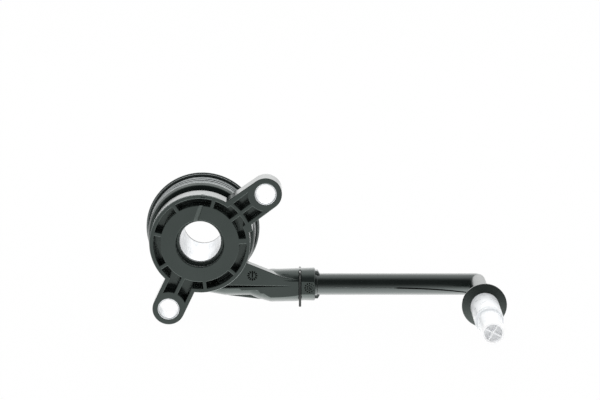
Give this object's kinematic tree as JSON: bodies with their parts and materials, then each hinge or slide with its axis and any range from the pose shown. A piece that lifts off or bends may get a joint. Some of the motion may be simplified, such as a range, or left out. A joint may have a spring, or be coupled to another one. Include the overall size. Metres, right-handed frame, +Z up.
{
  "type": "clutch slave cylinder",
  "caption": "Ring-shaped hydraulic clutch cylinder with release bearing, preload spring and feed pipe, bolted round the gearbox input shaft to free the clutch.",
  "frame": {"origin": "on the shaft axis, in the plane of the mounting face", "axes": "+X along the feed pipe, +Y along the input shaft from the gearbox towards the clutch, +Z up as in the picture"},
  "size_m": [0.2372, 0.1611, 0.0998],
  "materials": {
    "moulded_plastic": "glass-filled moulding, satin",
    "pipe_plastic": "smooth moulding, satin",
    "piston_plastic": "smooth moulding",
    "collar_plastic": "satin moulding",
    "cage_plastic": "natural moulding",
    "milky_plastic": "milky translucent moulding",
    "rubber": "satin seal rubber",
    "seal_rubber": "satin moulded rubber",
    "bright_steel": "drawn and turned",
    "spring_steel": "drawn wire and strip",
    "bearing_steel": "ground"
  },
  "bodies": {
    "cylinder": {"housing": "moulded_plastic", "guide_sleeve": "bright_steel", "sleeve_seal_ring": "rubber", "upper_bush": "bright_steel", "lower_bush": "bright_steel", "feed_pipe": "pipe_plastic", "pipe_seal_ring": "rubber", "retaining_clip": "spring_steel", "bell_housing_seal": "seal_rubber", "connector_seal_ring": "rubber", "preload_spring": "spring_steel", "wiper_ring": "rubber"},
    "piston_group": {"piston": "piston_plastic", "piston_seal": "rubber", "spring_collar": "collar_plastic", "snap_ring": "spring_steel", "bearing_outer_ring": "bearing_steel", "front_shield": "spring_steel", "rear_shield": "spring_steel"},
    "turning_ring": {"bearing_inner_ring": "bearing_steel"},
    "ball_set": {"ball_cage": "cage_plastic", "bearing_balls": "bearing_steel"},
    "cap": {"transit_cap": "milky_plastic"}
  },
  "joints": [
    {"name": "piston_slide", "type": "slide", "parent": "cylinder", "child": "piston_group", "axis": [0, 1, 0], "range_m": [-0.008, 0], "stiffness_N_per_m": 400, "springref_m": 0.05, "deforming": ["preload_spring"]},
    {"name": "bearing_spin", "type": "hinge", "parent": "piston_group", "child": "turning_ring", "pos_m": [0, 0.0505, 0], "axis": [0, 1, 0], "continuous": true},
    {"name": "cage_spin", "type": "hinge", "parent": "piston_group", "child": "ball_set", "pos_m": [0, 0.0505, 0], "axis": [0, 1, 0], "continuous": true},
    {"name": "cap_pull", "type": "slide", "parent": "cylinder", "child": "cap", "axis": [0, -1, 0], "range_m": [0, 0.048]}
  ],
  "couplings": [
    {"joint": "cage_spin", "follows": "bearing_spin", "ratio": 0.438}
  ]
}
